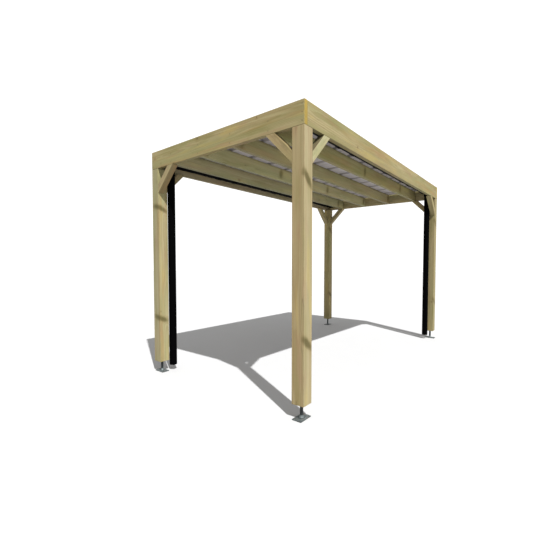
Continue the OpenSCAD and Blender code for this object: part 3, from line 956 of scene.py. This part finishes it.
def foot(where):
    node = "foot_" + where
    lo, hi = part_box(node)
    c = Vector(((lo.x + hi.x) / 2, (lo.y + hi.y) / 2, 0))
    long_x = hi.x - lo.x > hi.y - lo.y
    hl, hs = max(hi.x - lo.x, hi.y - lo.y) / 2, min(hi.x - lo.x, hi.y - lo.y) / 2
    pt = 0.008

    def put(a, b, z):
        return c + (Vector((a, b, z)) if long_x else Vector((-b, a, z)))

    # plate with rounded corners and four holes: the outline and the holes are bridged as one face each side
    bm = bmesh.new()
    base = [bm.verts.new(put(sx * hl, sy * hs, 0)) for sx, sy in ((-1, -1), (1, -1), (1, 1), (-1, 1))]
    f = bm.faces.new(base)
    up = bmesh.ops.extrude_face_region(bm, geom=[f])
    for v in [g for g in up["geom"] if isinstance(g, bmesh.types.BMVert)]:
        v.co.z = pt
    upright = [e for e in bm.edges if abs(e.verts[0].co.z - e.verts[1].co.z) > pt / 2]
    bmesh.ops.bevel(bm, geom=upright, offset=0.006, segments=5, profile=0.5, affect="EDGES")
    flat = [e for e in bm.edges if abs(e.verts[0].co.z - e.verts[1].co.z) < 1e-6 and len(e.link_faces) == 2
            and abs(e.link_faces[0].normal.z - e.link_faces[1].normal.z) > 0.5]
    bmesh.ops.bevel(bm, geom=flat, offset=0.0010, segments=2, profile=0.5, affect="EDGES")
    plate = make("foot_plate_" + where, bm, [GALV], angle=35)
    cut = bmesh.new()
    for sa in (-1, 1):
        for sb in (-1, 1):
            q = put(sa * (hl - 0.018), sb * (hs - 0.018), pt / 2)
            prof = [(0.0, -0.02), (0.006, -0.02), (0.006, 0.02 - 0.02 + pt / 2 - 0.0007), (0.0072, pt / 2 + 0.0006), (0.0072, 0.02), (0.0, 0.02)]
            seg = 28
            rings = [[cut.verts.new(q + Vector((r * math.cos(2 * math.pi * i / seg), r * math.sin(2 * math.pi * i / seg), z))) for i in range(seg)]
                     for r, z in prof[1:-1]]
            for p_, q_ in zip(rings, rings[1:]):
                for i in range(seg):
                    cut.faces.new((p_[i], p_[(i + 1) % seg], q_[(i + 1) % seg], q_[i]))
            cut.faces.new(rings[0][::-1])
            cut.faces.new(rings[-1])
    bmesh.ops.recalc_face_normals(cut, faces=cut.faces)
    cme = bpy.data.meshes.new("cut")
    cut.to_mesh(cme)
    cut.free()
    co = bpy.data.objects.new("cut", cme)
    bpy.context.scene.collection.objects.link(co)
    mod = plate.modifiers.new("holes", "BOOLEAN")
    mod.operation, mod.solver, mod.object = "DIFFERENCE", "EXACT", co
    dg = bpy.context.evaluated_depsgraph_get()
    new = bpy.data.meshes.new_from_object(plate.evaluated_get(dg))
    plate.modifiers.clear()
    old = plate.data
    plate.data = new
    new.name = old.name + "_drilled"
    bpy.data.objects.remove(co)
    new.set_sharp_from_angle(angle=math.radians(35))
    for p in new.polygons:
        p.use_smooth = p.area < 0.00012
    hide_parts(node)

    # stem
    bm = bmesh.new()
    r = 0.014
    top = hi.z
    prof = [(0.0005, pt - 0.001), (r, pt - 0.001), (r, top - 0.0025), (r - 0.0006, top - 0.0008), (r - 0.002, top - 0.0002), (0.0005, top - 0.0002)]
    lathe(bm, c, prof, 48)
    make("foot_stem_" + where, bm, [STEM], angle=35)
    # a turned flare where the stem meets the plate, with its weld bead
    bm = bmesh.new()
    fr, fh = 0.024, 0.024
    curve = [(fr - 0.0012, pt - 0.0005), (fr - 0.0014, pt + 0.0012)]
    for k in range(1, 8):
        t = k / 8
        curve.append((r + (fr - r - 0.0014) * (1 - t) ** 1.25, pt + 0.0012 + (fh - 0.003) * t))
    curve += [(r + 0.0003, pt + fh - 0.0008), (r - 0.0015, pt + fh - 0.0006), (r - 0.0015, pt - 0.0005)]
    lathe(bm, c, curve, 48)
    make("foot_flare_" + where, bm, [GALV], angle=40)
    bm = bmesh.new()
    for j in range(40):
        b = 2 * math.pi * j / 40
        weld_row(bm, [c + Vector((math.cos(b), math.sin(b), 0)) * (fr - 0.0012) + Vector((0, 0, pt + 0.0006))], 0.0024, j)
    make("foot_welds_" + where, bm, [STEM], angle=60)


for where in ("front_right", "front_left", "back_right", "back_left"):
    foot(where)

# ------------------------------------------------------------------ floor, light, camera

bm = bmesh.new()
F = 45.0
fv = [bm.verts.new((x, y, 0)) for x, y in ((-F, -F), (F, -F), (F, F), (-F, F))]
bm.faces.new(fv)
me = bpy.data.meshes.new("floor")
bm.to_mesh(me)
bm.free()
floor = bpy.data.objects.new("floor", me)
bpy.context.scene.collection.objects.link(floor)
fm, N = blank("floor_pale")
tc = N.new("ShaderNodeTexCoord")
fine = N.noise(tc.outputs["Object"], 3.0, 4.0, 0.6)
finish_material(fm, N, N.mix(fine, srgb(187, 187, 187), srgb(190, 190, 190)), N.math("MULTIPLY_ADD", fine, 0.05, 0.85), None, Specular_IOR_Level=0.1)
me.materials.append(fm)

world = bpy.data.worlds.new("studio")
world.use_nodes = True
bpy.context.scene.world = world
wt = world.node_tree
wt.nodes.clear()
W = Nodes(wt)
wo = W.new("ShaderNodeOutputWorld")
bg = W.new("ShaderNodeBackground")
bg.inputs["Color"].default_value = (1.0, 1.0, 1.0, 1.0)
lp = W.new("ShaderNodeLightPath")
W.put(bg.inputs["Strength"], W.math("MULTIPLY_ADD", lp.outputs["Is Camera Ray"], 0.575, 0.625))
wt.links.new(bg.outputs[0], wo.inputs[0])

sun = bpy.data.lights.new("sun", "SUN")
sun.energy = 5.8
sun.angle = math.radians(0.8)
so = bpy.data.objects.new("sun", sun)
bpy.context.scene.collection.objects.link(so)
so.location = (-4, -6, 9)
so.rotation_mode = "QUATERNION"
so.rotation_quaternion = Vector((0.333, 0.637, -1.0)).to_track_quat("-Z", "Y")

cam = bpy.data.cameras.new("camera")
cam.sensor_width = 36.0
cam.sensor_fit = "HORIZONTAL"
cam.lens = 36.0 * 340.87 / 553.0
cam.clip_start, cam.clip_end = 0.05, 300.0
camo = bpy.data.objects.new("camera", cam)
bpy.context.scene.collection.objects.link(camo)
camo.location = (-4.22095, -2.55330, 1.27683)
camo.rotation_euler = (math.radians(87.694), 0.0, math.radians(-51.442))
bpy.context.scene.camera = camo

vs = bpy.context.scene.view_settings
vs.view_transform = "Standard"
vs.look = "None"
vs.exposure = 0.0
vs.gamma = 1.0
